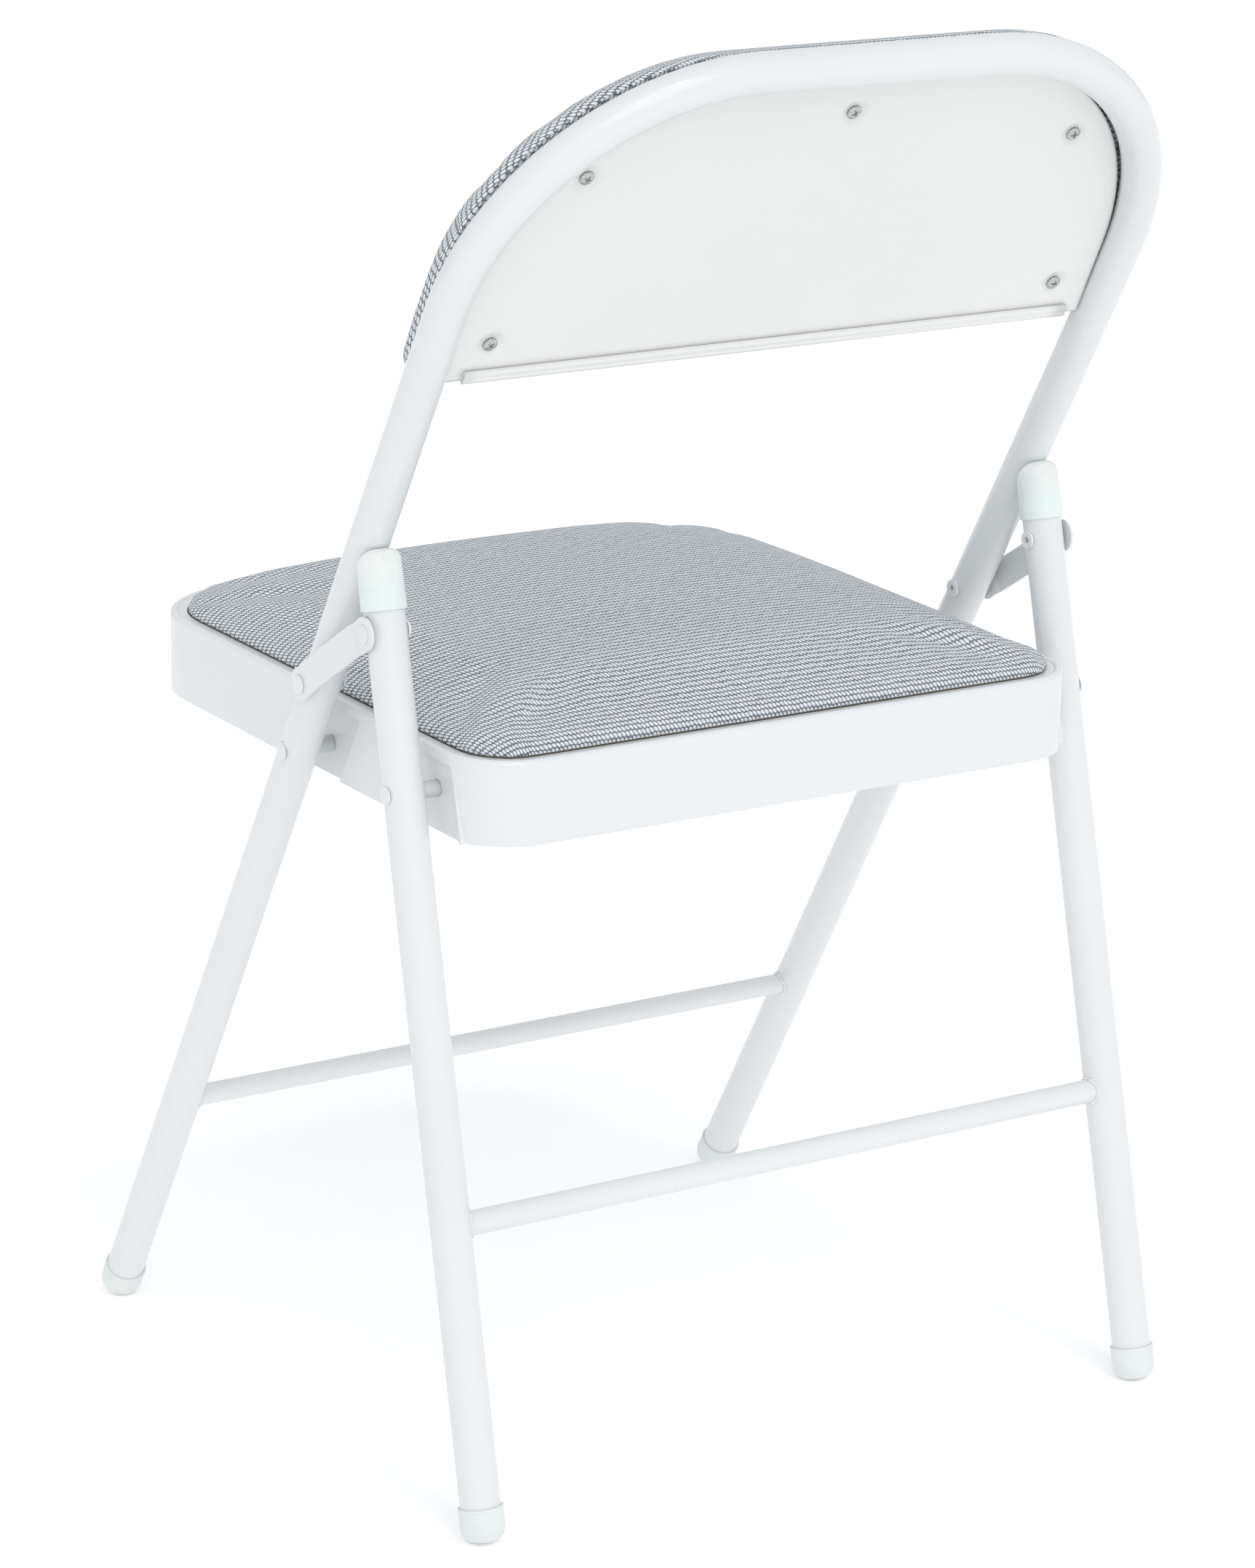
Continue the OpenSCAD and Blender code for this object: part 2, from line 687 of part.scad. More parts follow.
front_frame();
front_crossbar();
front_foot(left);  // front_foot_left
front_foot(right);  // front_foot_right
back_panel();
back_board();
back_pad();
back_screw(0);  // back_screw_top
back_screw(1);  // back_screw_upper_left
back_screw(2);  // back_screw_upper_right
back_screw(3);  // back_screw_lower_left
back_screw(4);  // back_screw_lower_right
seat_rivet(left);  // seat_rivet_left
seat_rivet(right);  // seat_rivet_right
seat_spacer(left);  // seat_spacer_left
seat_spacer(right);  // seat_spacer_right
link_rivet(left);  // link_rivet_left
link_rivet(right);  // link_rivet_right
seat_pan();
seat_board();
seat_pad();
seat_screw(0);  // seat_screw_front_left
seat_screw(1);  // seat_screw_front_right
seat_screw(2);  // seat_screw_rear_left
seat_screw(3);  // seat_screw_rear_right
rear_leg(left);  // rear_leg_left
rear_leg(right);  // rear_leg_right
rear_crossbar();
rear_cap(left);  // rear_cap_left
rear_cap(right);  // rear_cap_right
rear_foot(left);  // rear_foot_left
rear_foot(right);  // rear_foot_right
leg_rivet(left);  // leg_rivet_left
leg_rivet(right);  // leg_rivet_right
leg_spacer(left);  // leg_spacer_left
leg_spacer(right);  // leg_spacer_right
link_tail(left);  // link_tail_left
link_tail(right);  // link_tail_right
link(left);  // link_left
link_pin(left);  // link_pin_left
link(right);  // link_right
link_pin(right);  // link_pin_right
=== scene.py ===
"""Looks of the folding chair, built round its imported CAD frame.

Two sets of axes are used to build pieces, both in metres:
  front frame: X across, N square to the frame and rearwards, S up the uprights from the floor
  seat:        X across, Y back along the pan, Z up from the pan's lower edge
"""

import json
import math

import bmesh
import bpy
import numpy as np
from mathutils import Matrix, Vector


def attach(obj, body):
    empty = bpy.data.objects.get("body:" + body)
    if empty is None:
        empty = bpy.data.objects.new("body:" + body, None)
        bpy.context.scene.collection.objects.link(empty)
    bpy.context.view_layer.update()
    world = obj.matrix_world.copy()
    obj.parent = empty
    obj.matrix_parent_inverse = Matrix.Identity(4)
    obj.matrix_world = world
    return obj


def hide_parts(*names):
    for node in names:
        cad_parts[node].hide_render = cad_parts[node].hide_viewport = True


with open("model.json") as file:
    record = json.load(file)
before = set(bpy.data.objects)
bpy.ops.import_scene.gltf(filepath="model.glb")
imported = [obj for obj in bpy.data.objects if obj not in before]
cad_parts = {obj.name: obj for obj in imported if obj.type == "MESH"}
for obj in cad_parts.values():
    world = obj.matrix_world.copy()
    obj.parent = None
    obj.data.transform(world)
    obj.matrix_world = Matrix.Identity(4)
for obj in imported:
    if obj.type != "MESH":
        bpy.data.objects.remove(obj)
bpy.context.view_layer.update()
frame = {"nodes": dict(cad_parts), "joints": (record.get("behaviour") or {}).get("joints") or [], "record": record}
nodes = frame["nodes"]
joint_pos = {j["name"]: Vector(j["pos_m"]) for j in frame["joints"]}

MM = 0.001

# ---- dimensions shared with the CAD model ----

FRONT_LEAN = math.radians(32.5)
REAR_LEAN = math.radians(11.4)
SEAT_TILT = math.radians(2.2)
SEAT_PIVOT_S = 464.2 * MM
LEG_PIVOT_S = 400.25 * MM
PAN_PIVOT_H = 17.8 * MM
TUBE_R = 11 * MM
FRAME_X = 212.4 * MM
HOOP_S = 913.2 * MM
HOOP_R = 141 * MM
PANEL_LOW_S = 725.8 * MM
PANEL_N = -5.4 * MM
BOARD_N = -11.2 * MM
PAN_RIM_Z = 46.4 * MM
REAR_FOOT_X = 215.8 * MM
REAR_CLOSE_IN = 3.6 / 485.25
FRONT_BAR_Z = 147.5 * MM
FRONT_BAR_R = 6.2 * MM
REAR_BAR_Z = 166 * MM
REAR_BAR_R = 6.8 * MM

SCREW_PLACES = {
    "top": (0.0, 877.2 * MM),
    "upper_left": (150.5 * MM, 849.2 * MM),
    "upper_right": (-150.5 * MM, 849.2 * MM),
    "lower_left": (177.4 * MM, 746.8 * MM),
    "lower_right": (-177.4 * MM, 746.8 * MM),
}


def axes(origin, across, second, third):
    """Matrix from building axes to the row frame."""
    m = Matrix.Identity(4)
    for column, vector in enumerate((across, second, third, origin)):
        for row in range(3):
            m[row][column] = vector[row]
    return m


def leaning(pivot, lean, up_to_pivot):
    """Axes of a plane that leans back by an angle: X across, second square to it, third up it."""
    square = Vector((0, math.cos(lean), -math.sin(lean)))
    along = Vector((0, math.sin(lean), math.cos(lean)))
    return axes(pivot - along * up_to_pivot, Vector((1, 0, 0)), square, along)


seat_pivot = joint_pos["seat_fold"]
leg_pivot = joint_pos["rear_legs_fold"]
FRONT = leaning(seat_pivot, FRONT_LEAN, SEAT_PIVOT_S)
SEAT = leaning(seat_pivot, SEAT_TILT, PAN_PIVOT_H)
REAR = leaning(leg_pivot, -REAR_LEAN, LEG_PIVOT_S)


# ---- material building ----


class Nodes:
    """Short names for adding shader nodes to one material."""

    def __init__(self, name):
        self.material = bpy.data.materials.new(name)
        self.material.use_nodes = True
        self.tree = self.material.node_tree
        self.tree.nodes.clear()
        self.out = self.add("ShaderNodeOutputMaterial")
        self.shader = self.add("ShaderNodeBsdfPrincipled")
        self.link(self.shader.outputs[0], self.out.inputs["Surface"])

    def add(self, kind, **settings):
        node = self.tree.nodes.new(kind)
        for key, value in settings.items():
            setattr(node, key, value)
        return node

    def link(self, source, target):
        self.tree.links.new(source, target)

    def put(self, value, socket):
        """Link an output to a socket, or set a plain number on it."""
        if isinstance(value, bpy.types.NodeSocket):
            self.link(value, socket)
        else:
            socket.default_value = value

    def math(self, operation, a, b=0.0, c=0.0, clamp=False):
        node = self.add("ShaderNodeMath", operation=operation, use_clamp=clamp)
        for socket, value in zip(node.inputs, (a, b, c)):
            self.put(value, socket)
        return node.outputs[0]

    def object_coords(self):
        return self.add("ShaderNodeTexCoord").outputs["Object"]

    def attribute(self, name):
        node = self.add("ShaderNodeAttribute", attribute_type="GEOMETRY", attribute_name=name)
        return node.outputs["Vector"]

    def split(self, vector):
        return self.add_linked("ShaderNodeSeparateXYZ", vector).outputs

    def add_linked(self, kind, value, **settings):
        node = self.add(kind, **settings)
        self.link(value, node.inputs[0])
        return node

    def noise(self, vector, scale, detail=2.0, roughness=0.5):
        node = self.add("ShaderNodeTexNoise")
        self.link(vector, node.inputs["Vector"])
        node.inputs["Scale"].default_value = scale
        node.inputs["Detail"].default_value = detail
        node.inputs["Roughness"].default_value = roughness
        return node.outputs["Fac"]

    def span(self, value, low, high, to_low=0.0, to_high=1.0):
        """Map a value from one range to another, clamped."""
        node = self.add("ShaderNodeMapRange", clamp=True)
        for socket, number in zip(node.inputs, (value, low, high, to_low, to_high)):
            self.put(number, socket)
        return node.outputs[0]

    def mix(self, factor, a, b):
        node = self.add("ShaderNodeMix", data_type="RGBA")
        self.put(factor, node.inputs["Factor"])
        for socket, value in zip((node.inputs[6], node.inputs[7]), (a, b)):
            if isinstance(value, bpy.types.NodeSocket):
                self.link(value, socket)
            else:
                socket.default_value = (*value, 1)
        return node.outputs[2]

    def bump(self, height, distance, strength=1.0, normal=None):
        node = self.add("ShaderNodeBump")
        self.link(height, node.inputs["Height"])
        node.inputs["Distance"].default_value = distance
        node.inputs["Strength"].default_value = strength
        if normal is not None:
            self.link(normal, node.inputs["Normal"])
        return node.outputs["Normal"]

    def finish(self, color, roughness, normal=None, **uniform):
        self.put(color, self.shader.inputs["Base Color"])
        self.put(roughness, self.shader.inputs["Roughness"])
        if normal is not None:
            self.link(normal, self.shader.inputs["Normal"])
        for name, value in uniform.items():
            self.shader.inputs[name.replace("_", " ")].default_value = value
        return self.material


def powder_coat(name, pale, dull):
    """Semi-gloss white paint: faint orange peel and a slow drift in tone."""
    n = Nodes(name)
    at = n.object_coords()
    drift = n.span(n.noise(at, 9.0, 3.0), 0.35, 0.65)
    color = n.mix(drift, dull, pale)
    rough = n.span(n.noise(at, 60.0, 2.0), 0.3, 0.7, 0.34, 0.42)
    peel = n.noise(at, 620.0, 1.5, 0.4)
    normal = n.bump(peel, 0.00003, 0.08)
    return n.finish(color, rough, normal, Coat_Weight=0.5, Coat_Roughness=0.1, IOR=1.5)


def moulded_plastic(name, pale, dull, see_in):
    """Satin white moulding with fine spark texture, a little light passing into it."""
    n = Nodes(name)
    at = n.object_coords()
    color = n.mix(n.span(n.noise(at, 45.0, 3.0), 0.35, 0.65), dull, pale)
    rough = n.span(n.noise(at, 180.0, 2.0), 0.3, 0.7, 0.36, 0.5)
    normal = n.bump(n.noise(at, 1500.0, 2.0), 0.00004, 0.5)
    return n.finish(
        color, rough, normal, Subsurface_Weight=see_in, Subsurface_Scale=0.004, IOR=1.49
    )


def woven_fabric(name):
    """Coarse two-tone weave: rows of pale slanted floats over a darker ground.
    It is laid out by the 'weave' attribute, in metres of cloth across and along."""
    pitch, row = 2.5 * MM, 4.7 * MM
    n = Nodes(name)
    cloth = n.attribute("weave")
    across, along, _ = n.split(cloth)
    slow_wander = n.math("MULTIPLY", n.noise(cloth, 55.0, 2.0), 0.35)
    fine_wander = n.math("MULTIPLY", n.noise(cloth, 210.0, 1.0), 0.55)
    wander = n.math("ADD", slow_wander, fine_wander)
    v = n.math("ADD", n.math("DIVIDE", along, row), wander)
    row_index = n.math("FLOOR", v)
    shift = n.math("MULTIPLY", n.math("MODULO", row_index, 2.0), 0.5)
    u = n.math("ADD", n.math("DIVIDE", across, pitch), shift)
    fv = n.math("SUBTRACT", n.math("SUBTRACT", v, row_index), 0.5)
    slant = n.math("MULTIPLY", fv, 0.3)
    fu = n.math("SUBTRACT", n.math("FRACT", n.math("ADD", u, slant)), 0.5)
    across_part = n.math("POWER", n.math("DIVIDE", n.math("ABSOLUTE", fu), 0.5), 2.0)
    along_part = n.math("POWER", n.math("DIVIDE", n.math("ABSOLUTE", fv), 0.5), 2.4)
    round_top = n.math("SUBTRACT", 1.0, n.math("ADD", across_part, along_part), clamp=True)
    floats = n.math("POWER", round_top, 0.6)
    strands = n.noise(cloth, 2600.0, 1.0, 0.6)
    height = n.math("ADD", floats, n.math("MULTIPLY", strands, 0.22))
    pale_float = n.span(floats, 0.18, 0.78)
    fleck = n.span(strands, 0.38, 0.66)
    light = n.mix(fleck, (0.655, 0.705, 0.75), (0.92, 0.945, 0.97))
    dark = n.mix(fleck, (0.085, 0.096, 0.112), (0.21, 0.23, 0.26))
    color = n.mix(pale_float, dark, light)
    faded = n.span(n.noise(cloth, 14.0, 2.0), 0.3, 0.7, 0.0, 0.10)
    color = n.mix(faded, color, (0.62, 0.65, 0.68))
    rough = n.span(floats, 0.0, 1.0, 0.95, 0.68)
    normal = n.bump(height, 0.0008, 0.7)
    return n.finish(
        color, rough, normal, Sheen_Weight=0.15, Sheen_Roughness=0.5, Specular_IOR_Level=0.25
    )


def plywood(name):
    """Grey-brown wood with long grain along X; its tone is darkened and greyed as painted shade, so the seam it
    shows under the seat pad reads as a shadow line.
    """
    n = Nodes(name)
    at = n.object_coords()
    stretch = n.add("ShaderNodeMapping")
    n.link(at, stretch.inputs["Vector"])
    stretch.inputs["Scale"].default_value = (3.0, 60.0, 260.0)
    grain = n.noise(stretch.outputs[0], 4.0, 6.0, 0.6)
    # Both wood tones are kept dark and grey as painted shade, for the thin seam under the seat pad.
    color = n.mix(n.span(grain, 0.3, 0.7), (0.20, 0.165, 0.13), (0.34, 0.29, 0.23))
    return n.finish(color, n.span(grain, 0.2, 0.8, 0.62, 0.8), n.bump(grain, 0.0003, 0.4))


def zinc(name):
    """Bright plated steel with fine turning marks and darker pits."""
    n = Nodes(name)
    at = n.object_coords()
    marks = n.noise(at, 1400.0, 3.0, 0.6)
    color = n.mix(n.span(marks, 0.3, 0.7), (0.34, 0.35, 0.35), (0.68, 0.69, 0.68))
    rough = n.span(marks, 0.3, 0.7, 0.2, 0.38)
    return n.finish(color, rough, n.bump(marks, 0.00005, 0.4), Metallic=1.0)


paint = powder_coat("white_paint", (0.762, 0.779, 0.786), (0.745, 0.763, 0.773))
panel_paint = powder_coat("panel_paint", (0.795, 0.80, 0.785), (0.777, 0.784, 0.771))
rivet_paint = powder_coat("rivet_paint", (0.78, 0.795, 0.80), (0.75, 0.77, 0.78))
foot_plastic = moulded_plastic("foot_plastic", (0.78, 0.795, 0.79), (0.75, 0.77, 0.765), 0.12)
cap_plastic = moulded_plastic("cap_plastic", (0.82, 0.85, 0.84), (0.79, 0.825, 0.815), 0.3)
# The spacers get a mid-grey, darker than the white mouldings round them, as painted shade: it makes them read as
# the shadowed gap between tube and pan.
spacer_plastic = moulded_plastic("spacer_plastic", (0.64, 0.66, 0.66), (0.58, 0.60, 0.60), 0.0)
fabric = woven_fabric("woven_fabric")
wood = plywood("plywood")
zinc_plate = zinc("zinc_plate")

FINISH_OF_SLOT = {
    "white_steel": paint,
    "rivet_steel": rivet_paint,
    "foot_plastic": foot_plastic,
    "cap_plastic": cap_plastic,
    "spacer_plastic": spacer_plastic,
    "seat_fabric": fabric,
    "back_fabric": fabric,
    "plywood": wood,
    "zinc_steel": zinc_plate,
}
for part in frame["record"]["subparts"]:
    slots = nodes[part["node"]].material_slots
    for slot in slots:
        slot.material = FINISH_OF_SLOT[part["material_slot"]]


# ---- piece building ----


def piece(name, points, faces, place, material, body, smooth=True):
    """A mesh object built in its own axes, put into the row frame and onto a body."""
    mesh = bpy.data.meshes.new(name)
    mesh.from_pydata([tuple(place @ Vector(p)) for p in points], [], faces)
    mesh.polygons.foreach_set("use_smooth", [smooth] * len(faces))
    mesh.materials.append(material)
    mesh.update()
    mesh.validate()
    obj = bpy.data.objects.new(name, mesh)
    bpy.context.scene.collection.objects.link(obj)
    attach(obj, body)
    return obj


def grid_faces(rows, columns, close_rows=False, close_columns=False):
    """Quads of a grid of points that are listed row by row."""
    faces = []
    for r in range(rows if close_rows else rows - 1):
        for c in range(columns if close_columns else columns - 1):
            r2, c2 = (r + 1) % rows, (c + 1) % columns
            faces.append((r * columns + c, r * columns + c2, r2 * columns + c2, r2 * columns + c))
    return faces


class Outline:
    """Flat outline, straight at the sides, with its own corner radius at each end."""

    def __init__(self, half, low, high, r_low, r_high):
        self.half, self.low, self.high = half, low, high
        self.r_low, self.r_high = r_low, r_high

    def inside(self, x, y):
        """Distance inside the outline and the way out to its nearest point, for arrays."""
        side = np.where(x < 0, -1.0, 1.0)
        upper = y > (self.low + self.high) / 2
        way = np.where(upper, 1.0, -1.0)
        r = np.where(upper, self.r_high, self.r_low)
        centre_y = np.where(upper, self.high - self.r_high, self.low + self.r_low)
        dx, dy = np.abs(x) - (self.half - r), (y - centre_y) * way
        corner = (dx > 0) & (dy > 0)
        length = np.maximum(np.hypot(dx, dy), 1e-9)
        to_side, to_end = self.half - np.abs(x), r - dy
        near_side = to_side < to_end
        depth = np.where(corner, r - length, np.minimum(to_side, to_end))
        nx = side * np.where(corner, dx / length, np.where(near_side, 1.0, 0.0))
        ny = way * np.where(corner, dy / length, np.where(near_side, 0.0, 1.0))
        return depth, nx, ny

    def loop(self, inset, turns=40):
        """Points round the outline, moved inwards."""
        r_low, r_high = max(self.r_low - inset, 1e-4), max(self.r_high - inset, 1e-4)
        x_low, x_high = self.half - inset - r_low, self.half - inset - r_high
        y_low, y_high = self.low + inset + r_low, self.high - inset - r_high
        corners = [
            (x_high, y_high, r_high), (-x_high, y_high, r_high),
            (-x_low, y_low, r_low), (x_low, y_low, r_low),
        ]
        points = []
        for quarter, (x, y, r) in enumerate(corners):
            for k in range(turns + 1):
                angle = math.pi / 2 * (quarter + k / turns)
                points.append((x + r * math.cos(angle), y + r * math.sin(angle)))
        return points


def plate_between(outline, layers):
    """Closed solid from rings (inset, height) stacked from the bottom ring to the top ring."""
    loops = [outline.loop(inset) for inset, _ in layers]
    count = len(loops[0])
    points = [(x, y, h) for loop, (_, h) in zip(loops, layers) for x, y in loop]
    faces = grid_faces(len(layers), count, close_columns=True)
    faces.append(tuple(reversed(range(count))))
    top = (len(layers) - 1) * count
    faces.append(tuple(range(top, top + count)))
    return points, faces


SWELL_FRAMES = 20
SWELL_CAP = 5 * MM
VOXEL = 4.5 * MM
SKIRT = 7 * MM
PRESSED_GAP = 0.6 * MM
CORNER_DROP = 4.5 * MM
FOOT_INSET = 0.4 * MM
ROLL_STEPS = 8
SIDE_SHARE = 0.35


def point_array(mesh):
    """Positions of a mesh's points, one row each."""
    co = np.empty(len(mesh.vertices) * 3)
    mesh.vertices.foreach_get("co", co)
    return co.reshape(-1, 3)


def evaluated(obj):
    """An object as its modifiers leave it."""
    return obj.evaluated_get(bpy.context.evaluated_depsgraph_get())


def apply_modifiers(obj):
    """Give an object the mesh that its modifiers make, and return that mesh."""
    shape = bpy.data.meshes.new_from_object(evaluated(obj))
    obj.modifiers.clear()
    obj.data = shape
    return shape


def swell(obj, held_below, cap):
    """Inflate a closed shape with the cloth solver, with everything under a height held still,
    and keep each point within a cap of where it started."""
    scene = bpy.context.scene
    bpy.context.view_layer.objects.active = obj
    start = point_array(obj.data)
    group = obj.vertex_groups.new(name="held")
    group.add([int(i) for i in np.where(start[:, 2] < held_below)[0]], 1.0, "REPLACE")
    cloth = obj.modifiers.new("cloth", "CLOTH")
    settings = cloth.settings
    settings.quality = 6
    settings.mass = 0.25
    settings.tension_stiffness = settings.compression_stiffness = 12
    settings.shear_stiffness = 6
    settings.bending_stiffness = 1.5
    settings.use_pressure = True
    settings.uniform_pressure_force = 4.0
    settings.vertex_group_mass = "held"
    settings.effector_weights.gravity = 0
    cloth.point_cache.frame_start, cloth.point_cache.frame_end = 1, SWELL_FRAMES
    for number in range(1, SWELL_FRAMES + 1):
        scene.frame_set(number)
    moved = point_array(evaluated(obj).data)
    obj.modifiers.remove(cloth)
    obj.vertex_groups.clear()
    scene.frame_set(1)
    step = moved - start
    length = np.linalg.norm(step, axis=1)
    step *= (np.minimum(length, cap) / np.maximum(length, 1e-9))[:, None]
    obj.data.vertices.foreach_set("co", (start + step).ravel())
    obj.data.update()


def merge_pressed(mesh):
    """Join the points that were pressed onto one another in the base plane."""
    shape = bmesh.new()
    shape.from_mesh(mesh)
    pressed = [v for v in shape.verts if v.co.z == 0]
    bmesh.ops.remove_doubles(shape, verts=pressed, dist=PRESSED_GAP)
    bmesh.ops.dissolve_degenerate(shape, edges=shape.edges, dist=1e-6)
    shape.to_mesh(mesh)
    shape.free()


def stuffed_pad(name, outline, base, rise, dome, roll, spread, place, flip, body, replaced):
    """A foam pad under stretched cloth: flat where it rests, steep sides that roll over, domed top.
    It is built with its thickness along +Z and then turned into its place. The part under the
    base is pressed flat, and nothing reaches past the outline by more than the spread."""
    layers = [(FOOT_INSET, -SKIRT), (FOOT_INSET, rise * 0.15)]
    for k in range(1, ROLL_STEPS + 1):
        angle = math.pi / 2 * k / ROLL_STEPS
        inset = roll * (1 - math.cos(angle)) + FOOT_INSET
        layers.append((inset, rise * (SIDE_SHARE + (1 - SIDE_SHARE) * math.sin(angle))))
    points, faces = plate_between(outline, layers)
    mesh = bpy.data.meshes.new(name)
    mesh.from_pydata(points, [], faces)
    obj = bpy.data.objects.new(name, mesh)
    bpy.context.scene.collection.objects.link(obj)
    remesh = obj.modifiers.new("voxels", "REMESH")
    remesh.mode, remesh.voxel_size = "VOXEL", VOXEL
    shape = apply_modifiers(obj)
    co = point_array(shape)
    middle, reach = (outline.high + outline.low) / 2, (outline.high - outline.low) / 2
    across = np.clip(1 - (co[:, 0] / outline.half) ** 2, 0, 1)
    along = np.clip(1 - ((co[:, 1] - middle) / reach) ** 2, 0, 1)
    upper = np.clip(co[:, 2] / rise, 0, 1)
    co[:, 2] += upper * dome * (across * along) ** 0.89
    ear = (1 - across) * (1 - along) * (co[:, 1] < middle)
    co[:, 2] -= upper * CORNER_DROP * ear
    shape.vertices.foreach_set("co", co.ravel())
    swell(obj, held_below=rise * 0.3, cap=SWELL_CAP)
    smooth = obj.modifiers.new("even", "SMOOTH")
    smooth.factor, smooth.iterations = 0.5, 3
    finer = obj.modifiers.new("finer", "SUBSURF")
    finer.levels = finer.render_levels = 1
    shape = apply_modifiers(obj)
    shape.name = name
    co = point_array(shape)
    depth, nx, ny = outline.inside(co[:, 0], co[:, 1])
    over = np.minimum(depth + spread, 0)
    co[:, 0] += nx * over
    co[:, 1] += ny * over
    co[:, 2] = np.maximum(co[:, 2], 0)
    shape.vertices.foreach_set("co", co.ravel())
    merge_pressed(shape)
    co = point_array(shape)
    depth, nx, ny = outline.inside(co[:, 0], co[:, 1])
    drop = np.clip(rise - co[:, 2], 0, None)
    weave = shape.attributes.new("weave", "FLOAT_VECTOR", "POINT")
    flat = np.stack([co[:, 0] + nx * drop, co[:, 1] + ny * drop, np.zeros(len(co))], 1)
    weave.data.foreach_set("vector", flat.ravel())
    co[:, 2] = base + co[:, 2]
    if flip:
        co = np.stack([co[:, 0], -co[:, 2], co[:, 1]], 1)
        shape.flip_normals()
    shape.vertices.foreach_set("co", co.ravel())
    shape.transform(place)
    shape.polygons.foreach_set("use_smooth", [True] * len(shape.polygons))
    shape.materials.clear()
    shape.materials.append(fabric)
    shape.update()
    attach(obj, body)
    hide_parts(replaced)
    return obj


# ---- pads ----

seat_outline = Outline(188.4 * MM, -226.6 * MM, 157.6 * MM, 61 * MM, 30.9 * MM)
stuffed_pad(
    "seat_cushion", seat_outline, base=PAN_RIM_Z + 0.2 * MM,
    rise=13 * MM, dome=9.5 * MM, roll=28 * MM, spread=0.4 * MM,
    place=SEAT, flip=False, body="seat", replaced="seat_pad",
)

back_outline = Outline(216.8 * MM, 717.6 * MM, 918 * MM, 14 * MM, 138 * MM)
stuffed_pad(
    "back_cushion", back_outline, base=-BOARD_N,
    rise=19 * MM, dome=2.5 * MM, roll=10 * MM, spread=1 * MM,
    place=FRONT, flip=True, body="frame", replaced="back_pad",
)

# ---- back panel: bowed sheet with soft dimples and a rolled hem ----

PANEL_T = 1.2 * MM
PANEL_INSET = 12 * MM
PANEL_BOW = 5.6 * MM
BOW_REACH = 130 * MM
DIMPLE_DEPTH = 1.6 * MM
DIMPLE_OUT_R, DIMPLE_IN_R = 8.8 * MM, 5.0 * MM

panel_half = FRAME_X - PANEL_INSET
panel_high = HOOP_S - PANEL_INSET
panel_r = HOOP_R - PANEL_INSET


def smoothstep(t):
    t = min(max(t, 0.0), 1.0)
    return t * t * (3 - 2 * t)


def bow(s):
    return PANEL_BOW * max(0.0, 1 - (s - PANEL_LOW_S) / BOW_REACH) ** 1.5


def panel_surface(x, s):
    """Distance N of the panel's rear face."""
    sink = 0.0
    for px, ps in SCREW_PLACES.values():
        r = math.hypot(x - px, s - ps)
        if r < DIMPLE_OUT_R:
            sink = DIMPLE_DEPTH * smoothstep((DIMPLE_OUT_R - r) / (DIMPLE_OUT_R - DIMPLE_IN_R))
    return PANEL_N + bow(s) - sink


def panel_half_at(s):
    over = s - (panel_high - panel_r)
    if over <= 0:
        return panel_half
    return panel_half - panel_r + math.sqrt(max(panel_r**2 - over**2, 0.0))


rows, columns = 121, 221
points = []
for layer in (0, -PANEL_T):
    for r in range(rows):
        s = PANEL_LOW_S + (panel_high - PANEL_LOW_S) * r / (rows - 1)
        half = panel_half_at(s)
        for c in range(columns):
            x = half * (2 * c / (columns - 1) - 1)
            points.append((x, panel_surface(x, s) + layer, s))
rear = grid_faces(rows, columns)
count = rows * columns
front = [tuple(i + count for i in reversed(f)) for f in rear]
rim = [c for c in range(columns)]
rim += [r * columns + columns - 1 for r in range(1, rows)]
rim += [(rows - 1) * columns + c for c in reversed(range(columns - 1))]
rim += [r * columns for r in reversed(range(1, rows - 1))]
edge = [(rim[k], rim[(k + 1) % len(rim)]) for k in range(len(rim))]
sides = [(a, a + count, b + count, b) for a, b in edge]
faces = rear + front + sides
panel = piece("back_sheet", points, faces, FRONT, panel_paint, "frame")
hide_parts("back_panel")

# Hem: the sheet rolled over towards the back, hollow, with open ends
HEM_HALF = 190 * MM
HEM_H, HEM_T, HEM_SHEET = 7.6 * MM, 3.4 * MM, 0.9 * MM


def hem_ring(inset):
    """Flattened oval in N and S, with a shallow crease along its middle."""
    ring = []
    half_h, half_t = HEM_H / 2 - inset, HEM_T / 2 - inset
    for k in range(40):
        angle = 2 * math.pi * k / 40
        c, s = math.cos(angle), math.sin(angle)
        n = half_t * math.copysign(abs(c) ** 0.7, c)
        h = half_h * math.copysign(abs(s) ** 0.75, s)
        crease = 0.45 * MM * math.exp(-((h / (0.9 * MM)) ** 2)) if n > 0 else 0.0
        ring.append((n - crease, h))
    return ring


hem_n = panel_surface(0, PANEL_LOW_S) + HEM_T / 2 - 0.2 * MM
hem_s = PANEL_LOW_S + HEM_H / 2 - 0.8 * MM
stations = [-HEM_HALF + 2 * HEM_HALF * k / 24 for k in range(25)]
points = []
for ring, order in ((hem_ring(0), stations), (hem_ring(HEM_SHEET), stations[::-1])):
    for x in order:
        points += [(x, hem_n + n, hem_s + h) for n, h in ring]
piece(
    "back_hem", points, grid_faces(50, 40, close_rows=True, close_columns=True),
    FRONT, panel_paint, "frame",
)

# ---- cross-head screws ----

HEAD_R, HEAD_H = 4.0 * MM, 2.3 * MM
RECESS_ARM, RECESS_HALF, RECESS_DEPTH = 2.3 * MM, 0.5 * MM, 1.5 * MM


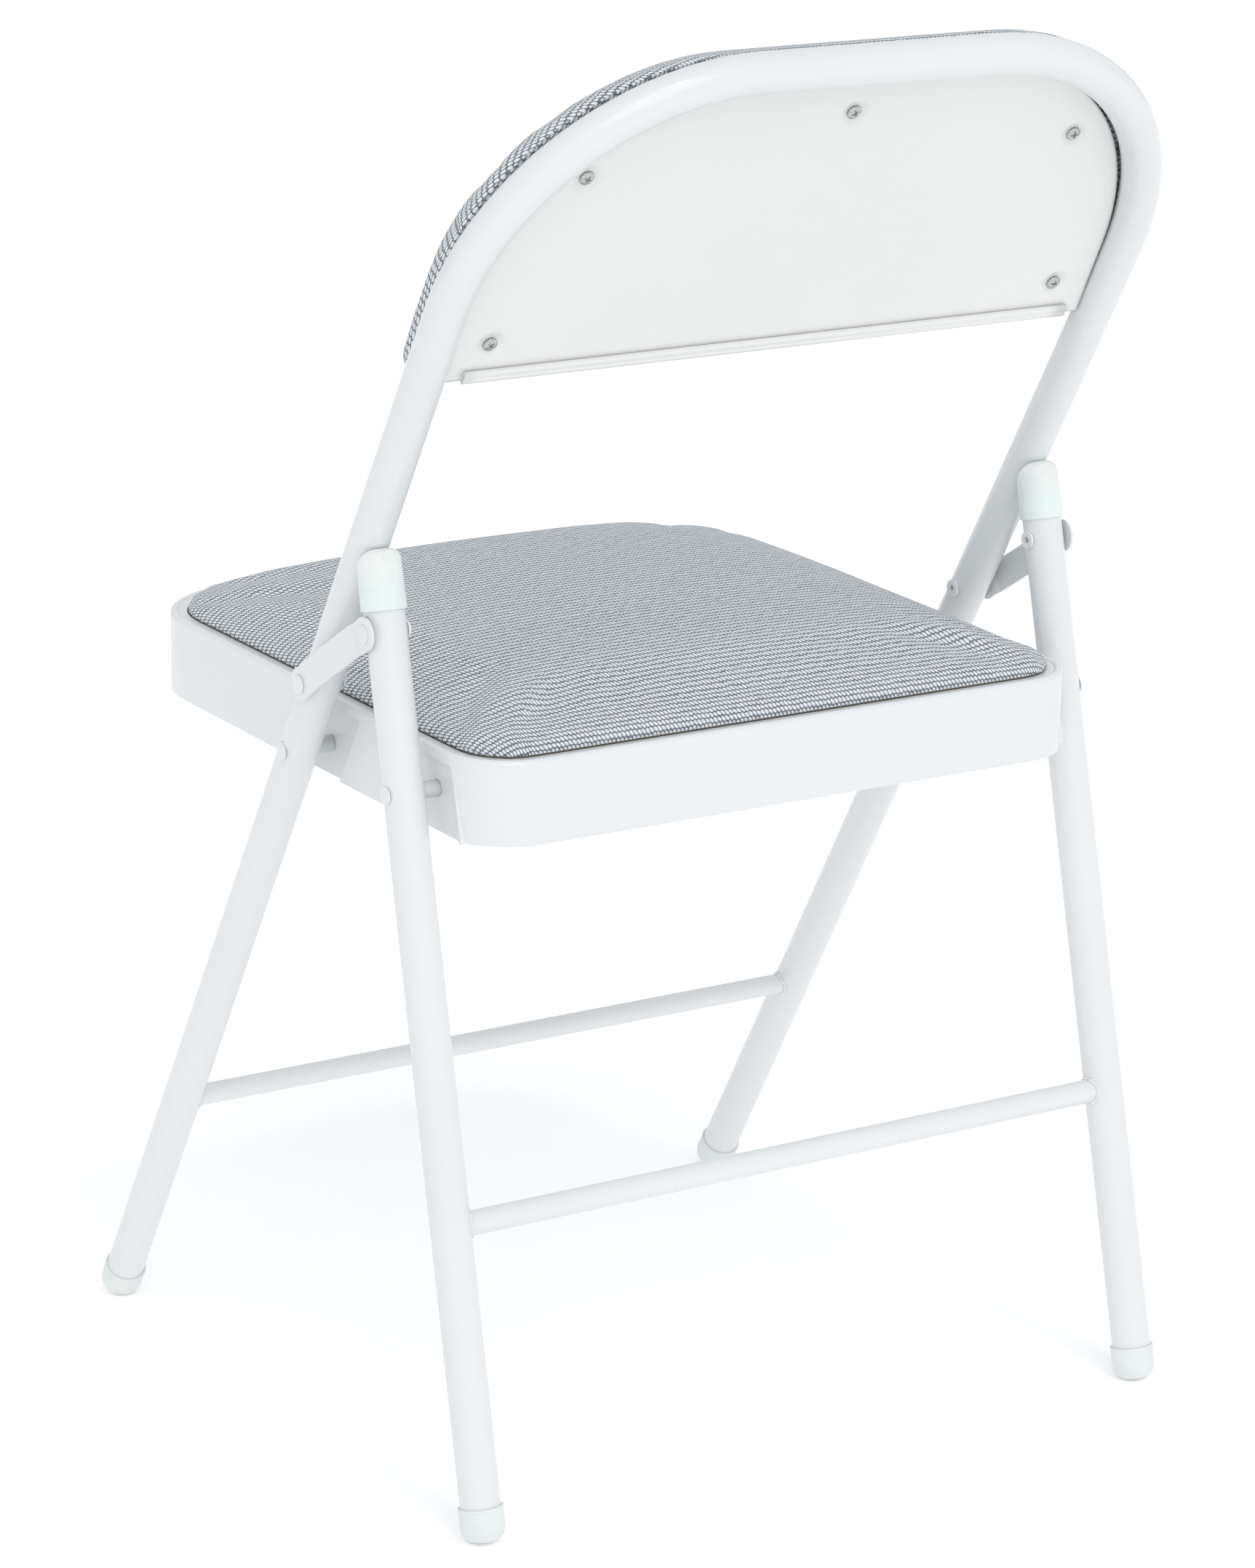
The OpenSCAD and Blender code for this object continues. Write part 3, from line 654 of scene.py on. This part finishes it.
def head_height(r, angle):
    """Height of a pan head with its cross recess."""
    dome = HEAD_H * (1 - 0.45 * (r / HEAD_R) ** 3)
    a, b = abs(r * math.cos(angle)), abs(r * math.sin(angle))
    long_way, short_way = max(a, b), min(a, b)
    arm = smoothstep((RECESS_HALF + 0.12 * MM - short_way) / (0.24 * MM))
    arm *= smoothstep((RECESS_ARM - long_way) / (0.5 * MM))
    centre = smoothstep((1.2 * MM - r) / (0.4 * MM))
    return dome - RECESS_DEPTH * max(arm, centre)


def screw_head(name, place, turn, replaced):
    rings, spokes = 30, 64
    points = [(0, 0, head_height(0, 0))]
    for k in range(1, rings + 1):
        r = HEAD_R * k / rings
        for m in range(spokes):
            angle = 2 * math.pi * m / spokes
            x, y = r * math.cos(angle + turn), r * math.sin(angle + turn)
            points.append((x, y, head_height(r, angle)))
    for m in range(spokes):
        angle = 2 * math.pi * m / spokes + turn
        points.append((HEAD_R * math.cos(angle), HEAD_R * math.sin(angle), 0))
    faces = [(0, 1 + m, 1 + (m + 1) % spokes) for m in range(spokes)]
    faces += [tuple(1 + i for i in f) for f in grid_faces(rings + 1, spokes, close_columns=True)]
    faces = [tuple(reversed(f)) if len(f) == 4 else f for f in faces]
    base = 1 + rings * spokes
    faces.append(tuple(reversed(range(base, base + spokes))))
    head = piece(name, points, faces, place, zinc_plate, "frame")
    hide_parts(replaced)


SCREW_TURNS = {
    "top": 0.5, "upper_left": 1.1, "upper_right": 0.2, "lower_left": 0.75, "lower_right": 1.3,
}
for spot, (x, s) in SCREW_PLACES.items():
    seat_n = PANEL_N + bow(s) - DIMPLE_DEPTH
    stand = FRONT @ Matrix.Translation((x, seat_n, s)) @ Matrix.Rotation(-math.pi / 2, 4, "X")
    screw_head("screw_head_" + spot, stand, SCREW_TURNS[spot], "back_screw_" + spot)

# ---- weld beads where the crossbars meet the tubes ----


def weld_bead(name, place, tube_x, height, bar_r, side, body):
    """Uneven fillet round the end of a crossbar, on the inner face of a tube."""
    turns, ring = 56, 10
    points = []
    for k in range(turns):
        angle = 2 * math.pi * k / turns
        lump = 1 + 0.22 * math.sin(9 * angle + side) + 0.12 * math.sin(17 * angle + 2.0)
        size = 1.15 * MM * lump
        reach = bar_r + 0.35 * MM
        n, s = reach * math.cos(angle), reach * math.sin(angle)
        x = tube_x - math.sqrt(TUBE_R**2 - n**2) - 0.2 * MM
        for m in range(ring):
            turn = 2 * math.pi * m / ring
            out, inwards = size * math.cos(turn), size * math.sin(turn)
            bead_n, bead_s = n + out * math.cos(angle), height + s + out * math.sin(angle)
            points.append((side * (x - inwards), bead_n, bead_s))
    faces = grid_faces(turns, ring, close_rows=True, close_columns=True)
    if side < 0:
        faces = [tuple(reversed(f)) for f in faces]
    piece(name, points, faces, place, paint, body)


front_bar_s = FRONT_BAR_Z / math.cos(FRONT_LEAN)
rear_bar_s = REAR_BAR_Z / math.cos(REAR_LEAN)
rear_x = REAR_FOOT_X - rear_bar_s * REAR_CLOSE_IN
for side, label in ((1, "left"), (-1, "right")):
    weld_bead("front_weld_" + label, FRONT, FRAME_X, front_bar_s, FRONT_BAR_R, side, "frame")
    weld_bead("rear_weld_" + label, REAR, rear_x, rear_bar_s, REAR_BAR_R, side, "rear_legs")

# ---- stage: floor, light and camera ----

FLOOR_HALF = 30.0
FLOOR_GLOW = 0.16

def floor_material():
    """Matt pale studio floor with a very slight unevenness."""
    n = Nodes("studio_floor")
    tone = n.noise(n.object_coords(), 1.5, 2.0)
    color = n.mix(n.span(tone, 0.3, 0.7), (0.95, 0.95, 0.95), (0.96, 0.96, 0.96))
    return n.finish(
        color, 0.9, n.bump(tone, 0.001, 0.05), Specular_IOR_Level=0.1,
        Emission_Color=(1, 1, 1, 1), Emission_Strength=FLOOR_GLOW,
    )


mesh = bpy.data.meshes.new("floor")
corners = [(x * FLOOR_HALF, y * FLOOR_HALF, 0) for x, y in ((-1, -1), (1, -1), (1, 1), (-1, 1))]
mesh.from_pydata(corners, [], [(0, 1, 2, 3)])
mesh.materials.append(floor_material())
floor = bpy.data.objects.new("floor", mesh)
bpy.context.scene.collection.objects.link(floor)

world = bpy.data.worlds.new("studio")
bpy.context.scene.world = world
world.use_nodes = True
background = world.node_tree.nodes["Background"]
background.inputs["Color"].default_value = (0.97, 0.985, 1.0, 1)
background.inputs["Strength"].default_value = 0.80


def sun(name, azimuth, elevation, strength, spread, color):
    """Soft distant light that comes from a compass direction round the chair."""
    data = bpy.data.lights.new(name, "SUN")
    data.energy, data.angle, data.color = strength, math.radians(spread), color
    light = bpy.data.objects.new(name, data)
    a, e = math.radians(azimuth), math.radians(elevation)
    toward = Vector((math.sin(a) * math.cos(e), -math.cos(a) * math.cos(e), math.sin(e)))
    light.rotation_euler = toward.to_track_quat("Z", "Y").to_euler()
    bpy.context.scene.collection.objects.link(light)


sun("key", 166, 40, 0.80, 45, (1.0, 0.995, 0.985))
sun("glint", 178, 62, 0.12, 4, (1.0, 1.0, 1.0))
sun("fill", 60, 30, 0.03, 40, (0.8, 0.9, 1.0))

CAMERA_AZIMUTH = math.radians(148.2219)
CAMERA_ELEVATION = math.radians(14.9751)
CAMERA_ROLL = math.radians(-0.2799)
CAMERA_DISTANCE = 2.811348
CAMERA_TARGET = Vector((0.00207, -0.00128, 0.34009))
CAMERA_LENS = 142.457

ca, sa = math.cos(CAMERA_AZIMUTH), math.sin(CAMERA_AZIMUTH)
ce, se = math.cos(CAMERA_ELEVATION), math.sin(CAMERA_ELEVATION)
back = Vector((sa * ce, -ca * ce, se))
right = Vector((ca, sa, 0))
up = back.cross(right)
cr, sr = math.cos(CAMERA_ROLL), math.sin(CAMERA_ROLL)
camera_data = bpy.data.cameras.new("camera")
camera_data.lens = CAMERA_LENS
camera_data.sensor_width = 36
camera_data.sensor_fit = "HORIZONTAL"
camera = bpy.data.objects.new("camera", camera_data)
camera.matrix_world = axes(
    CAMERA_TARGET + back * CAMERA_DISTANCE, right * cr + up * sr, up * cr - right * sr, back
)
bpy.context.scene.collection.objects.link(camera)
bpy.context.scene.camera = camera
bpy.context.scene.view_settings.view_transform = "Standard"
